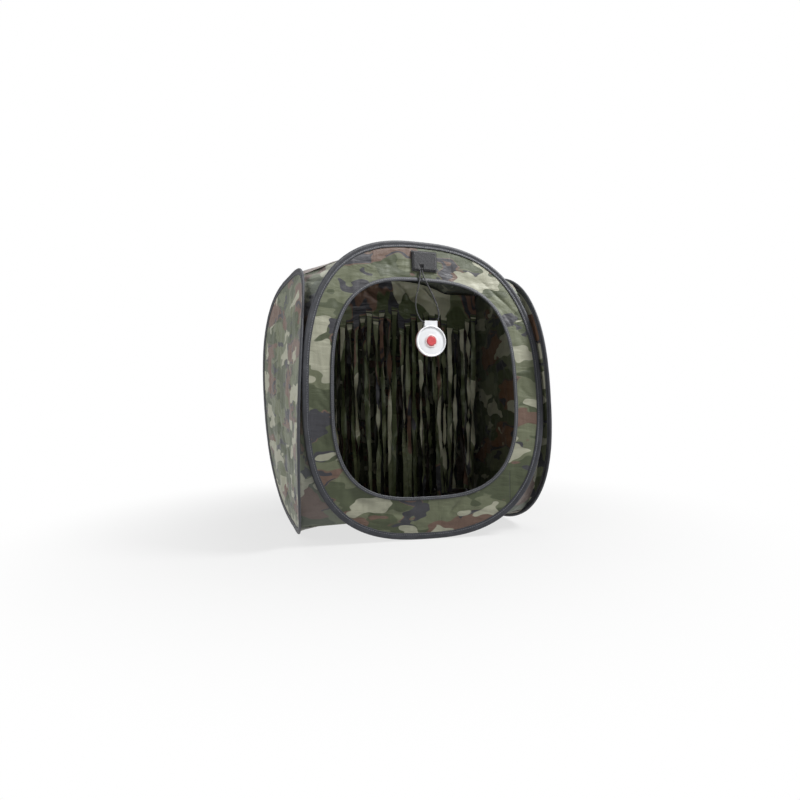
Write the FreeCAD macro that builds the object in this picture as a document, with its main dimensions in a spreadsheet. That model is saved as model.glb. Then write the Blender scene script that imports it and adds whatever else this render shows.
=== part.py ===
import FreeCAD, Part
import Sketcher
import math
import os

# Pop-up target tent: four sprung hoop panels sewn edge to edge, with a roof, a floor and corner
# gussets of cloth, a curtain slit into strips inside, and a small target that hangs on a cord.
# Millimetres. The origin is on the ground under the middle of the tent, +Z up, front towards -Y.

V = FreeCAD.Vector
UP = V(0, 0, 1)
OUTLINE_POINTS = 40     # points that the smooth outline of a hoop is drawn through
CURVE_POINTS = 13       # points along the edge of a roof, floor or gusset
SEW_WITHIN = 0.01       # largest gap that sewing two faces of a tape closes

SIZES = {
    # hoop panels: half sizes over the tape, rounding of the corners, bow and twist of the loop
    "front_half_width": 166, "front_half_height": 200, "front_round": 2.6,
    "front_bow": 12, "front_twist": 20,
    "side_half_depth": 178, "side_half_height": 189, "side_round": 2.9,
    "side_bow": 10, "side_twist": 8, "side_flare": 3.2,
    "back_half_height": 195, "back_bow": 10, "back_twist": 6,
    "side_overhang": 25, "seam_gap": 4.8, "back_seam_gap": 10,
    # tape, spring wire, its crimp, and cloth
    "tape_width": 11, "tape_thick": 3.6, "tape_skin": 0.6, "stitch_line": 5,
    "wire_width": 2.6, "wire_thick": 1.6, "wire_edge": 1.4, "wire_split": 1,
    "ferrule_length": 10, "ferrule_wall": 0.2, "ferrule_clear": 0.16,
    "cloth_thick": 1, "cloth_clear": 0.1, "lining_thick": 0.8, "lining_gap": 0.5,
    # opening in the front panel and its tape
    "opening_half_width": 125, "opening_half_height": 143.5, "opening_round": 3,
    "opening_raise": 1.7, "opening_tape_width": 5, "opening_tape_thick": 2.4,
    "opening_fold": 0.6,
    # roof, floor and corner gussets: where the rounded hoops part from each other
    "roof_part": 0.62, "rim_inset": 4, "gusset_inset": 25, "gusset_step": 1,
    # slit curtain
    "curtain_thick": 0.8, "curtain_setback": 200, "curtain_spacing": 30,
    "strip_width": 9.6, "strip_count": 30, "slit_width": 1.4, "slit_top": 318,
    "curtain_clear": 0.6,
    # hook-and-loop patch
    "patch_x": 3, "patch_z": 373, "patch_width": 37, "patch_height": 28, "patch_hem": 1.2,
    "patch_base_thick": 0.8, "patch_clear": 0.2, "patch_cover_thick": 3, "channel_x": -2.7,
    "channel_width": 5, "channel_depth": 2.3, "channel_height": 8,
    # cord and target
    "cord_radius": 0.9, "tunnel_clear": 0.5, "target_x": 8.6, "target_y": 3.2,
    "target_z": 265.4, "target_radius": 21, "target_thick": 3.4, "rim_width": 2.6,
    "rim_height": 1.1, "ring_radius": 8.6, "ring_width": 1.8, "ring_height": 0.7,
    "button_radius": 6.6, "button_height": 1.4, "back_plate_radius": 20,
    "back_plate_thick": 1.6, "tab_width": 18, "tab_thick": 4.4, "tab_top": 292.6,
}

# Route of the cord: x and z in the front panel's frame, y back from the panel's middle plane.
CORD_ROUTE = [
    (-3.9, 4.9, 362.0), (-4.7, 3.5, 351.0), (-8.2, 3.2, 334.5), (-12.4, 3.2, 318.0),
    (-10.4, 3.2, 302.5), (-4.4, 3.2, 292.0), (2.6, 3.2, 289.2), (14.8, 3.2, 289.4),
    (20.2, 3.2, 294.6), (21.1, 3.2, 304.6), (16.9, 3.2, 318.5), (7.9, 3.2, 337.0),
    (-0.4, 3.8, 351.5), (-1.6, 5.0, 362.0),
]

doc = FreeCAD.newDocument("TargetTent")
sheet = doc.addObject("Spreadsheet::Sheet", "Sizes")
for row, (alias, value) in enumerate(SIZES.items(), start=1):
    sheet.set("A%d" % row, alias)
    sheet.set("B%d" % row, str(value))
    sheet.setAlias("B%d" % row, alias)
doc.recompute()

nodes = []


def size(alias):
    return float(sheet.get(alias))


def keep(obj, label):
    obj.Label = label
    nodes.append(obj)
    return obj


def add_shape(label, shape, placement=None):
    """A sub-part whose warped shape is set with Part's functions."""
    obj = doc.addObject("Part::Feature", label)
    obj.Shape = shape
    if placement is not None:
        obj.Placement = placement
    return keep(obj, label)


# ---------------------------------------------------------------- warped hoops


class Loop:
    """One sprung hoop: a rounded rectangle bent out of its plane.

    Its own frame has x along the panel, z up and y into the tent. The loop stands on z = 0, and
    the sheet lies at y = -bow (X^2 - Z^2) + twist X Z, where X and Z run from -1 to 1.
    """

    def __init__(self, half_width, half_height, rounding, bow, twist, placement):
        self.half_width = half_width
        self.half_height = half_height
        self.rounding = rounding
        self.bow = bow
        self.twist = twist
        self.placement = placement

    def depth(self, x, z):
        """y of the sheet at x across and z up from the loop's middle."""
        across = x / self.half_width
        up = z / self.half_height
        return -self.bow * (across * across - up * up) + self.twist * across * up

    def edge(self, turn, inset=0.0):
        """x and z of the outline at an angle, moved inwards by inset."""
        cosine = math.cos(turn)
        sine = math.sin(turn)
        power = 2.0 / self.rounding
        x = math.copysign(abs(cosine) ** power, cosine) * self.half_width
        z = math.copysign(abs(sine) ** power, sine) * self.half_height
        slope = self.rounding - 1
        normal_x = math.copysign(abs(x / self.half_width) ** slope, x) / self.half_width
        normal_z = math.copysign(abs(z / self.half_height) ** slope, z) / self.half_height
        length = math.hypot(normal_x, normal_z)
        return x - inset * normal_x / length, z - inset * normal_z / length

    def rim_point(self, turn, inset, lift):
        """A point beside the hoop, in the tent's frame, lift further in than the sheet."""
        x, z = self.edge(turn, inset)
        local = V(x, self.depth(x, z) + lift, z + self.half_height)
        return self.placement.multVec(local)

    def slab(self, low, high, margin=1.15):
        """The warped sheet between two lifts, as an exact biquadratic patch with thickness."""
        surface = Part.BezierSurface()
        surface.increase(2, 2)
        ends = [(-margin, -margin), (-margin, margin), (margin, margin)]
        for i, (x0, x1) in enumerate(ends, start=1):
            across = (x0 + x1) / 2
            for j, (z0, z1) in enumerate(ends, start=1):
                up = (z0 + z1) / 2
                y = -self.bow * (x0 * x1 - z0 * z1) + self.twist * across * up + low
                z = up * self.half_height + self.half_height
                surface.setPole(i, j, V(across * self.half_width, y, z))
        return surface.toShape().extrude(V(0, high - low, 0))

    def outline(self, inset):
        """The loop's outline as a flat wire, moved inwards by inset."""
        points = []
        for k in range(OUTLINE_POINTS):
            x, z = self.edge(2 * math.pi * k / OUTLINE_POINTS, inset)
            points.append(V(x, -self.half_width, z + self.half_height))
        curve = Part.BSplineCurve()
        curve.interpolate(Points=points, PeriodicFlag=True)
        return Part.Wire(curve.toShape())

    def prism(self, *insets):
        """A straight block with the loop's outline, or a ring between two insets."""
        wires = [self.outline(inset) for inset in insets]
        face = Part.Face(wires, "Part::FaceMakerBullseye")
        return face.extrude(V(0, 2 * self.half_width, 0))

    def band(self, outer, inner, low, high):
        """A flat ring of the sheet between two insets and two lifts."""
        return self.slab(low, high).common(self.prism(outer, inner))

    def block(self, x, z, half_length, half_height):
        """A straight block through the sheet round the point x across, z above the foot."""
        box = Part.makeBox(2 * half_length, 2 * self.half_width, 2 * half_height)
        box.translate(V(x - half_length, -self.half_width, z - half_height))
        return box


def turned(x, y, degrees):
    return FreeCAD.Placement(V(x, y, 0), FreeCAD.Rotation(UP, degrees))


FRONT_Y = size("side_overhang") - size("side_half_depth")
SEAM_X = size("front_half_width") + size("seam_gap")
FLARE = math.radians(size("side_flare"))


def side_place(side):
    """Placement of a side loop: side is -1 for the left panel and 1 for the right one.

    Its front edge stands beside the front hoop's and its rear edge flares outwards.
    """
    x = SEAM_X - size("side_bow") + size("side_half_depth") * math.sin(FLARE)
    return turned(side * x, 0, side * (90 - size("side_flare")))


BACK_HALF_WIDTH = SEAM_X + 2 * size("side_half_depth") * math.sin(FLARE) - size("back_seam_gap")

front = Loop(size("front_half_width"), size("front_half_height"), size("front_round"),
             size("front_bow"), size("front_twist"), turned(0, FRONT_Y, 0))
left = Loop(size("side_half_depth"), size("side_half_height"), size("side_round"),
            size("side_bow"), size("side_twist"), side_place(-1))
right = Loop(size("side_half_depth"), size("side_half_height"), size("side_round"),
             size("side_bow"), -size("side_twist"), side_place(1))
back = Loop(BACK_HALF_WIDTH, size("back_half_height"), size("side_round"),
            size("back_bow"), size("back_twist"), turned(0, -FRONT_Y, 180))
LOOPS = {"front": front, "right": right, "back": back, "left": left}


def folded_tape(loop, prism, outlines, half_tape, half_slot, lip_inside):
    """Tape folded over an edge: a closed fold at one outline and open lips at the other.

    prism(a, b) is the straight ring between two outlines. The three outlines are the fold, the
    one where the hollow ends and the lips. The faces come from plain rings, whose smallest are
    their walls: the lips' wall is the smaller one where the lips lie inside the fold.
    """
    fold, skin, lip = outlines
    lip_wall = 0 if lip_inside else 1
    body = loop.slab(-half_tape, half_tape).common(prism(fold, lip))
    hollow = loop.slab(-half_slot, half_slot).common(prism(skin, lip))
    faces = []
    for ring in (body, hollow):
        by_area = sorted(ring.Faces, key=face_area)
        faces += by_area[:lip_wall] + by_area[lip_wall + 1:]
    for low, high in ((half_slot, half_tape), (-half_tape, -half_slot)):
        layer = loop.slab(low, high).common(prism(skin, lip))
        faces.append(sorted(layer.Faces, key=face_area)[lip_wall])
    sewn = Part.makeCompound(faces)
    sewn.sewShape(SEW_WITHIN)
    solid = Part.makeSolid(sewn.Shells[0])
    if solid.Volume < 0:
        solid.reverse()
    return solid


def face_area(face):
    return face.Area


def make_ferrule(name, loop):
    """The crimp that joins the two ends of the wire: a flat sleeve at the hoop's foot."""
    rise = size("wire_edge") + size("wire_width") / 2
    middle = rise - loop.half_height
    slope_up = 2 * loop.bow * middle / loop.half_height ** 2
    slope_across = loop.twist * middle / (loop.half_width * loop.half_height)
    turn = FreeCAD.Rotation(UP, math.degrees(math.atan(slope_across)))
    turn = turn.multiply(FreeCAD.Rotation(V(1, 0, 0), -math.degrees(math.atan(slope_up))))
    local = FreeCAD.Placement(V(0, loop.depth(0, middle), rise), turn)
    parts = []
    for step, wall in (("sleeve", "Sizes.ferrule_wall"), ("bore", "0")):
        spare = "2 * (Sizes.ferrule_clear + %s)" % wall
        bar = doc.addObject("Part::Box", "%s_%s" % (name, step))
        long = " + 2" if step == "bore" else ""
        bar.setExpression("Length", "Sizes.ferrule_length" + long)
        bar.setExpression("Width", "Sizes.wire_thick + " + spare)
        bar.setExpression("Height", "Sizes.wire_width + " + spare)
        bar.recompute()
        half = V(bar.Length.Value, bar.Width.Value, bar.Height.Value) * 0.5
        bar.Placement = loop.placement * local * FreeCAD.Placement(-half, FreeCAD.Rotation())
        parts.append(bar)
    ferrule = doc.addObject("Part::Cut", name + "_crimp")
    ferrule.Base, ferrule.Tool = parts
    keep(ferrule, name + "_hoop_ferrule")


def make_hoop(name, loop):
    """Spring wire, the crimp that joins its ends and the tape that is folded over both."""
    half_wire = size("wire_thick") / 2
    outer = size("wire_edge")
    inner = outer + size("wire_width")
    split = loop.block(0, 0, size("wire_split") / 2, 2 * inner)
    wire = loop.band(outer, inner, -half_wire, half_wire).cut(split)
    add_shape(name + "_hoop_wire", wire, loop.placement)
    make_ferrule(name, loop)
    half_tape = size("tape_thick") / 2
    skin = size("tape_skin")
    outlines = (0, skin, size("tape_width"))
    tape = folded_tape(loop, loop.prism, outlines, half_tape, half_tape - skin, True)
    add_shape(name + "_binding", tape, loop.placement)


def make_panel(name, loop, hole=None):
    """Cloth of one panel, its edge tucked into the tape."""
    half_cloth = size("cloth_thick") / 2
    tuck = size("stitch_line") + size("cloth_clear")
    cloth = loop.slab(-half_cloth, half_cloth).common(loop.prism(tuck))
    if hole is not None:
        cloth = cloth.cut(hole)
    add_shape(name + "_panel", cloth, loop.placement)


def opening_prism(*grow):
    """A straight block through the front opening, larger all round by grow, or a ring."""
    outline = Loop(size("opening_half_width"), size("opening_half_height"),
                   size("opening_round"), 0, 0, None)
    block = outline.prism(*[-step for step in grow])
    lift = size("front_half_height") - size("opening_half_height") + size("opening_raise")
    block.translate(V(0, 0, lift))
    return block


def make_opening_binding():
    tape = size("opening_tape_width")
    half_tape = size("opening_tape_thick") / 2
    half_slot = size("cloth_thick") / 2 + size("cloth_clear")
    outlines = (0, size("opening_fold"), tape)
    binding = folded_tape(front, opening_prism, outlines, half_tape, half_slot, False)
    add_shape("opening_binding", binding, front.placement)


# ---------------------------------------------------------------- roof, floor and gussets

LINING_LIFT = size("tape_thick") / 2 + size("lining_gap")


def rim_curve(loop, first, last, inset=0.0):
    """A smooth edge along the inside of a hoop between two angles in degrees.

    It follows the rim and moves further in by inset halfway along.
    """
    points = []
    for k in range(CURVE_POINTS):
        share = k / (CURVE_POINTS - 1)
        turn = math.radians(first + (last - first) * share)
        step = size("rim_inset") + inset * math.sin(math.pi * share)
        points.append(loop.rim_point(turn, step, LINING_LIFT))
    curve = Part.BSplineCurve()
    curve.interpolate(points)
    return curve.toShape()


def parting_angle(loop):
    """Angle on the outline where the roof's straight corner edge starts, in degrees."""
    return math.degrees(math.acos(size("roof_part") ** (loop.rounding / 2)))


def lid_faces(up):
    """The roof (up = 1) or floor (up = -1) as three ruled faces between the four hoops."""
    arcs = {}
    for name, loop in LOOPS.items():
        part = parting_angle(loop)
        arcs[name] = rim_curve(loop, up * (180 - part), up * part)
    starts = {name: arc.valueAt(arc.FirstParameter) for name, arc in arcs.items()}
    ends = {name: arc.valueAt(arc.LastParameter) for name, arc in arcs.items()}
    right_line = Part.makeLine(ends["front"], starts["back"])
    left_line = Part.makeLine(ends["back"], starts["front"])
    return [Part.makeRuledSurface(arcs["front"], arcs["back"]),
            Part.makeRuledSurface(right_line, arcs["right"]),
            Part.makeRuledSurface(left_line, arcs["left"])]


def lid_solid(up, low, high):
    """The roof or floor thickened between two heights, counted away from the tent's inside."""
    strips = []
    for face in lid_faces(up):
        strip = face.extrude(V(0, 0, up * (high - low)))
        strip.translate(V(0, 0, up * low))
        strips.append(strip)
    return strips[0].fuse(strips[1:])


def corner_curve(loop, side, inset):
    """The inside of one upright edge of a hoop: side is -1 or 1 along the loop's x axis."""
    part = parting_angle(loop) - size("gusset_step")
    if side > 0:
        return rim_curve(loop, part, -part, inset)
    return rim_curve(loop, 180 - part, 180 + part, inset)


def make_gusset(name, outer, outer_side, flank, flank_side):
    """The cloth in one corner, ruled between two hoops from the roof down to the floor."""
    tuck = size("gusset_inset") - size("rim_inset")
    outer_edge = corner_curve(outer, outer_side, 0)
    flank_edge = corner_curve(flank, flank_side, tuck)
    face = Part.makeRuledSurface(outer_edge, flank_edge)
    cloth = face.makeOffsetShape(size("lining_thick"), 0.01, fill=True)
    if cloth.CenterOfMass.Length > face.CenterOfMass.Length:
        cloth = face.makeOffsetShape(-size("lining_thick"), 0.01, fill=True)
    add_shape(name, cloth)


# ---------------------------------------------------------------- sketched pieces


def base_plane(body, role):
    for feature in body.Origin.OriginFeatures:
        if feature.Role == role:
            return feature
    raise RuntimeError("no plane " + role)


def new_sketch(body, name, role, offset="0"):
    sketch = body.newObject("Sketcher::SketchObject", name)
    sketch.AttachmentSupport = [(base_plane(body, role), "")]
    sketch.MapMode = "FlatFace"
    sketch.setExpression("AttachmentOffset.Base.z", offset)
    return sketch


def draw_polygon(sketch, corners):
    """A closed outline whose corners are pairs of expressions of the sheet's sizes."""
    count = len(corners)
    for k in range(count):
        here = V(10 * math.cos(k * 2 * math.pi / count), 10 * math.sin(k * 2 * math.pi / count), 0)
        turn = (k + 1) * 2 * math.pi / count
        sketch.addGeometry(Part.LineSegment(here, V(10 * math.cos(turn), 10 * math.sin(turn), 0)))
    for k in range(count):
        sketch.addConstraint(Sketcher.Constraint("Coincident", k, 2, (k + 1) % count, 1))
    for k, pair in enumerate(corners):
        for kind, text in zip(("DistanceX", "DistanceY"), pair):
            index = sketch.addConstraint(Sketcher.Constraint(kind, -1, 1, k, 1, 1.0))
            sketch.setExpression("Constraints[%d]" % index, text)


def revolved_body(label, profile):
    """A turned piece: the profile holds radius and height pairs, its axis is the body's Y."""
    body = doc.addObject("PartDesign::Body", label + "_body")
    sketch = new_sketch(body, label + "_profile", "XY_Plane")
    draw_polygon(sketch, profile)
    turn = body.newObject("PartDesign::Revolution", label + "_turn")
    turn.Profile = sketch
    turn.ReferenceAxis = (sketch, ["V_Axis"])
    turn.Angle = 360
    body.Tip = turn
    sketch.Visibility = False
    return body


def place_by(obj, x, y, z):
    """Bind a placement to expressions of the sheet's sizes."""
    obj.setExpression("Placement.Base.x", x)
    obj.setExpression("Placement.Base.y", y)
    obj.setExpression("Placement.Base.z", z)


FRONT_Y_TEXT = "(Sizes.side_overhang - Sizes.side_half_depth)"


def make_curtain(label, count_text, setback_text):
    """A sheet of cloth slit into strips, trimmed to hang from the roof down to the floor."""
    body = doc.addObject("PartDesign::Body", label + "_sheet")
    half = "((%s) * (Sizes.strip_width + Sizes.slit_width) - Sizes.slit_width) / 2" % count_text
    top = "2 * Sizes.front_half_height"
    sketch = new_sketch(body, label + "_outline", "XZ_Plane")
    draw_polygon(sketch, [("-" + half, "0"), (half, "0"), (half, top), ("-" + half, top)])
    pad = body.newObject("PartDesign::Pad", label + "_pad")
    pad.Profile = sketch
    pad.setExpression("Length", "Sizes.curtain_thick")
    slit = new_sketch(body, label + "_slit", "XZ_Plane")
    start = "-%s + Sizes.strip_width" % half
    draw_polygon(slit, [(start, "-1"), (start + " + Sizes.slit_width", "-1"),
                        (start + " + Sizes.slit_width", "Sizes.slit_top"),
                        (start, "Sizes.slit_top")])
    doc.recompute()
    pocket = body.newObject("PartDesign::Pocket", label + "_cut")
    pocket.Profile = slit
    pocket.Type = 1
    pocket.Midplane = True
    row = body.newObject("PartDesign::LinearPattern", label + "_row")
    row.Originals = [pocket]
    row.Direction = (slit, ["H_Axis"])
    gaps = "(%s) - 1" % count_text
    row.setExpression("Occurrences", gaps)
    row.setExpression("Length", "((%s) - 1) * (Sizes.strip_width + Sizes.slit_width)" % gaps)
    body.Tip = row
    place_by(body, "0", "%s + %s" % (FRONT_Y_TEXT, setback_text), "0")
    doc.recompute()

    clear = size("curtain_clear")
    reach = size("front_half_height")
    above = lid_solid(1, -size("lining_thick") - clear, reach)
    below = lid_solid(-1, -size("lining_thick") - clear, reach)
    trim = doc.addObject("Part::Feature", label + "_trim")
    flanks = []
    for side in (left, right):
        flank = side.slab(-reach / 2, LINING_LIFT + clear)
        flank.Placement = side.placement
        flanks.append(flank)
    trim.Shape = Part.makeCompound([above, below] + flanks)
    cloth = doc.addObject("Part::Cut", label + "_cloth")
    cloth.Base = body
    cloth.Tool = trim
    return keep(cloth, label)


# ---------------------------------------------------------------- patch, cord and target


def make_patch():
    """Two layers of hook-and-loop tape that follow the front panel and hold the cord's ends."""
    outer = -size("cloth_thick") / 2 - size("patch_clear")
    middle = outer - size("patch_base_thick")
    half_width = size("patch_width") / 2
    half_height = size("patch_height") / 2
    hem = size("patch_hem")
    x = size("patch_x")
    z = size("patch_z")
    square = front.block(x, z, half_width, half_height)
    add_shape("patch_base", front.slab(middle, outer).common(square), front.placement)
    inner = front.block(x, z, half_width - hem, half_height - hem)
    cover = front.slab(middle - size("patch_cover_thick"), middle).common(inner)
    rise = size("channel_height") + hem
    channel = front.block(size("channel_x"), z - half_height, size("channel_width") / 2, rise)
    groove = front.slab(middle - size("channel_depth"), middle).common(channel)
    add_shape("patch_cover", cover.cut(groove), front.placement)


def cord_path():
    """Straight runs joined by tangent arcs; the radii are printed."""
    points = [V(x, y + FRONT_Y, z) for x, y, z in CORD_ROUTE]
    edges = []
    radii = []
    start = points[0]
    for before, corner, after in zip(points, points[1:], points[2:]):
        into = (corner - before).normalize()
        out = (after - corner).normalize()
        half_turn = into.getAngle(out) / 2
        reach = 0.45 * min((corner - before).Length, (after - corner).Length)
        radii.append(reach / math.tan(half_turn))
        first = corner - into * reach
        last = corner + out * reach
        to_centre = (out - into).normalize()
        sag = radii[-1] * (1 / math.cos(half_turn) - 1)
        edges.append(Part.LineSegment(start, first).toShape())
        edges.append(Part.Arc(first, corner + to_centre * sag, last).toShape())
        start = last
    edges.append(Part.LineSegment(start, points[-1]).toShape())
    print("cord radii", [round(radius, 1) for radius in radii])
    return Part.Wire(edges)


def cord_tube(path, radius):
    start = path.Edges[0]
    circle = Part.Wire(Part.makeCircle(radius, start.valueAt(start.FirstParameter),
                                       start.tangentAt(start.FirstParameter)))
    tube = path.makePipeShell([circle], True, False)
    print("cord volume", round(tube.Volume, 1), round(math.pi * radius ** 2 * path.Length, 1))
    return tube


def make_target(path):
    """A dished white disc with a raised rim, a ring, a red button, a back plate and a tab."""
    radius = "Sizes.target_radius"
    face = "-Sizes.target_thick / 2"
    rim = face + " - Sizes.rim_height"
    rear = "Sizes.target_thick / 2"
    centre = ("Sizes.target_x", FRONT_Y_TEXT + " + Sizes.target_y", "Sizes.target_z")
    lip = radius + " - Sizes.rim_width"
    disc = revolved_body("target_disc", [("0", rear), (radius, rear), (radius, rim), (lip, rim),
                                         (lip, face), ("0", face)])
    ring_in = "Sizes.ring_radius - Sizes.ring_width"
    ring_top = face + " - Sizes.ring_height"
    ring = revolved_body("target_ring", [(ring_in, face), ("Sizes.ring_radius", face),
                                         ("Sizes.ring_radius", ring_top), (ring_in, ring_top)])
    button_top = face + " - Sizes.button_height"
    button = revolved_body("target_button", [("0", face), ("Sizes.button_radius", face),
                                             ("Sizes.button_radius", button_top),
                                             ("0", button_top)])
    plate_rear = rear + " + Sizes.back_plate_thick"
    plate = revolved_body("target_back_plate", [("0", rear), ("Sizes.back_plate_radius", rear),
                                                ("Sizes.back_plate_radius", plate_rear),
                                                ("0", plate_rear)])
    for body, label in ((disc, "target_disc"), (ring, "target_ring"),
                        (button, "target_button"), (plate, "target_back_plate")):
        place_by(body, *centre)
        keep(body, label)

    block = doc.addObject("Part::Box", "tab_block")
    block.setExpression("Length", "Sizes.tab_width")
    block.setExpression("Width", "Sizes.tab_thick")
    block.setExpression("Height", "Sizes.tab_top - Sizes.target_z")
    place_by(block, "Sizes.target_x - Sizes.tab_width / 2",
             centre[1] + " - Sizes.tab_thick / 2", "Sizes.target_z")
    seat = doc.addObject("Part::Cylinder", "tab_seat")
    seat.setExpression("Radius", radius)
    seat.setExpression("Height", "Sizes.tab_thick * 2")
    seat.Placement = FreeCAD.Placement(V(0, 0, 0), FreeCAD.Rotation(V(1, 0, 0), -90))
    place_by(seat, centre[0], centre[1] + " - Sizes.tab_thick", centre[2])
    body = doc.addObject("Part::Cut", "tab_body")
    body.Base = block
    body.Tool = seat
    tunnel = doc.addObject("Part::Feature", "tab_tunnel")
    tunnel.Shape = cord_tube(path, size("cord_radius") + size("tunnel_clear"))
    tab = doc.addObject("Part::Cut", "tab")
    tab.Base = body
    tab.Tool = tunnel
    keep(tab, "target_tab")


# ---------------------------------------------------------------- the tent

for name, loop in LOOPS.items():
    make_hoop(name, loop)
make_panel("front", front, opening_prism(size("opening_fold") + size("cloth_clear")))
for name in ("right", "back", "left"):
    make_panel(name, LOOPS[name])
make_opening_binding()

add_shape("roof_panel", lid_solid(1, -size("lining_thick"), 0))
add_shape("floor_panel", lid_solid(-1, -size("lining_thick"), 0))
make_gusset("front_left_gusset", front, -1, left, 1)
make_gusset("front_right_gusset", front, 1, right, -1)
make_gusset("back_left_gusset", back, 1, left, -1)
make_gusset("back_right_gusset", back, -1, right, 1)

make_curtain("front_curtain", "Sizes.strip_count", "Sizes.curtain_setback")
make_curtain("rear_curtain", "Sizes.strip_count - 1",
             "Sizes.curtain_setback + Sizes.curtain_spacing")
make_patch()
cord_line = cord_path()
add_shape("target_cord", cord_tube(cord_line, size("cord_radius")))
make_target(cord_line)

doc.recompute()
faults = [obj.Label for obj in doc.Objects if {"Invalid", "Error"} & set(obj.State)]
for obj in nodes:
    shape = obj.Shape
    if shape.isNull() or not shape.isValid() or not shape.Solids or shape.Volume <= 0:
        faults.append(obj.Label)
if faults:
    raise RuntimeError("faulty objects: " + ", ".join(faults))

os.makedirs("parts", exist_ok=True)
for obj in nodes:
    obj.Shape.exportStep("parts/" + obj.Label + ".step")
print(len(nodes), "nodes")
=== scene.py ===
"""A pop-up camouflage target tent: four sprung hoops with cloth, a slit curtain and a swinging target."""
import bmesh
import bpy
import math
import numpy as np
from mathutils import Matrix, Vector


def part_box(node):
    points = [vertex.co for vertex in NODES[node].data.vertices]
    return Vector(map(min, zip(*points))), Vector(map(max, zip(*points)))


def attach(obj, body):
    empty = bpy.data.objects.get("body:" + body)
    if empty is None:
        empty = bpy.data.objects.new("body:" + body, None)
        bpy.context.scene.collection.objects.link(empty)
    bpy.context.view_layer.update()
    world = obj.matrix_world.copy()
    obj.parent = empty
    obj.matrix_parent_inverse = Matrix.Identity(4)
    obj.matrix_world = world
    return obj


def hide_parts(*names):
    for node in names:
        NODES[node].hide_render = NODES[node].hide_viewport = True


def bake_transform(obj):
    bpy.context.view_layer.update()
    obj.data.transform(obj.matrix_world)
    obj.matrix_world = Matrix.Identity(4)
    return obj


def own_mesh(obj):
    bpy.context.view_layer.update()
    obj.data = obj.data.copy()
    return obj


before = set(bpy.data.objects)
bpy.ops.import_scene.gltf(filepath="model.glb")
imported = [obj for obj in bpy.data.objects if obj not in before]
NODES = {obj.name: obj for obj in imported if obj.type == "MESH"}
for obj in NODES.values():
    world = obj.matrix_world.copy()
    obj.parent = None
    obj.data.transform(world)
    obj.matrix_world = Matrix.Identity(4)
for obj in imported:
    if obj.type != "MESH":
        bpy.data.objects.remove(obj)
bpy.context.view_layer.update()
TAU = 2 * math.pi


# ---------------------------------------------------------------- camera

def aim_camera(place, yaw, pitch, roll, focal):
    """A camera that looks along +Y, turned by yaw towards +X, with its focal length in pixels of 800."""
    forward = Vector((math.sin(yaw) * math.cos(pitch), math.cos(yaw) * math.cos(pitch), math.sin(pitch)))
    side = Vector((math.cos(yaw), -math.sin(yaw), 0))
    up = side.cross(forward)
    right = side * math.cos(roll) + up * math.sin(roll)
    top = up * math.cos(roll) - side * math.sin(roll)
    data = bpy.data.cameras.new("camera")
    data.sensor_width = 36
    data.lens = focal / 800 * 36
    data.clip_start = 0.01
    camera = bpy.data.objects.new("camera", data)
    bpy.context.scene.collection.objects.link(camera)
    camera.matrix_world = Matrix.Translation(place) @ Matrix((right, top, -forward)).transposed().to_4x4()
    bpy.context.scene.camera = camera


aim_camera((-0.2495, -0.8597, 0.1848), 0.2922, 0.0037, -0.0182, 564.1)


# ---------------------------------------------------------------- noise and shapes in numpy

def hashed(i, j, seed):
    value = np.sin(i * 127.1 + j * 311.7 + seed * 74.7) * 43758.5453
    return value - np.floor(value)


def noise(x, y, seed):
    """Smooth value noise from 0 to 1."""
    x, y = np.asarray(x, float), np.asarray(y, float)
    i, j = np.floor(x), np.floor(y)
    u, v = x - i, y - j
    u, v = u * u * (3 - 2 * u), v * v * (3 - 2 * v)
    low = hashed(i, j, seed) * (1 - u) + hashed(i + 1, j, seed) * u
    high = hashed(i, j + 1, seed) * (1 - u) + hashed(i + 1, j + 1, seed) * u
    return low * (1 - v) + high * v


def swell(x, y, seed):
    """Three octaves of noise, from -1 to 1."""
    total = noise(x, y, seed) + 0.5 * noise(2.1 * x, 2.1 * y, seed + 5) + 0.25 * noise(4.3 * x, 4.3 * y, seed + 9)
    return total / 0.875 - 1


def folds(x, y, angle, spacing, length, seed):
    """Thin ridges along a direction, from 0 to 1, that come and go."""
    c, s = math.cos(angle), math.sin(angle)
    along, across = x * c + y * s, -x * s + y * c
    across = across + 0.35 * spacing * swell(along / length, across / length, seed + 3)
    ridge = 1 - np.abs(2 * noise(across / spacing, along / length, seed) - 1)
    return ridge ** 4


def step(value, low, high):
    t = np.clip((value - low) / (high - low), 0, 1)
    return t * t * (3 - 2 * t)


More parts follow.
